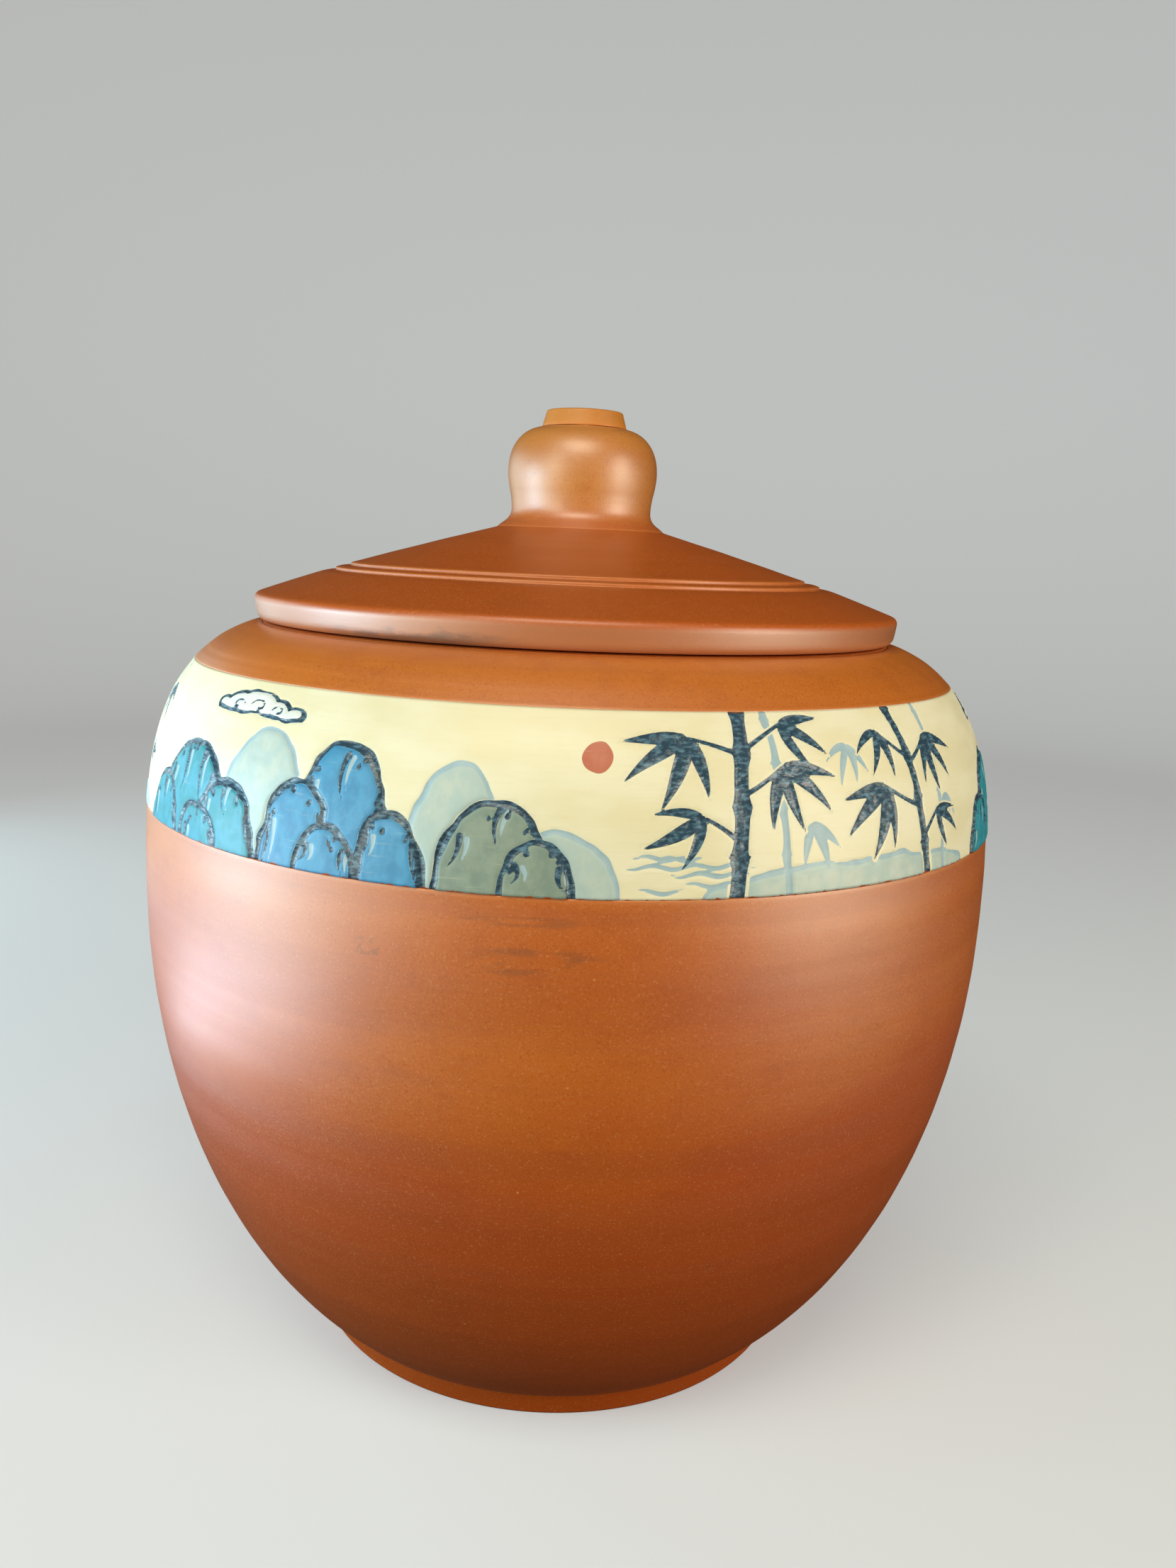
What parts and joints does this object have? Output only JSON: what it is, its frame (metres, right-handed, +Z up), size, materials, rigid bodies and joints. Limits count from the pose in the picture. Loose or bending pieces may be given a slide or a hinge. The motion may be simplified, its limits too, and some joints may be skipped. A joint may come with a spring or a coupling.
{
  "type": "tea storage jar",
  "caption": "Rounded unglazed clay storage jar with a foot ring, a pale slip band of coloured hills and clouds round its shoulder, and a lift-off conical lid with a hollow knob.",
  "frame": {"origin": "centre of the circle that the foot ring stands on", "axes": "+Z up along the jar's axis; -Y is the side that the picture shows"},
  "size_m": [0.3, 0.3, 0.3314],
  "materials": {
    "clay": "unglazed, burnished, satin",
    "raw_clay": "unglazed, matte",
    "cream_slip": "smooth slip, satin",
    "turquoise_slip": "coloured slip, satin",
    "blue_slip": "coloured slip, satin",
    "grey_green_slip": "coloured slip, satin",
    "white_slip": "coloured slip, satin"
  },
  "bodies": {
    "jar": {"jar_body": "clay", "base_disc": "raw_clay", "foot_ring": "raw_clay", "mouth_ring": "raw_clay", "cream_band": "cream_slip", "turquoise_hill_1": "turquoise_slip", "blue_hill_1": "blue_slip", "grey_green_hill_1": "grey_green_slip", "white_cloud_1": "white_slip", "turquoise_hill_2": "turquoise_slip", "blue_hill_2": "blue_slip", "grey_green_hill_2": "grey_green_slip", "white_cloud_2": "white_slip", "turquoise_hill_3": "turquoise_slip", "blue_hill_3": "blue_slip", "grey_green_hill_3": "grey_green_slip", "white_cloud_3": "white_slip"},
    "lid": {"lid_plate": "clay", "lid_flange": "raw_clay", "knob": "clay", "knob_collar": "clay"}
  },
  "joints": [
    {"name": "lid_lift", "type": "slide", "parent": "jar", "child": "lid", "axis": [0, 0, 1], "range_m": [0, 0.1]}
  ]
}
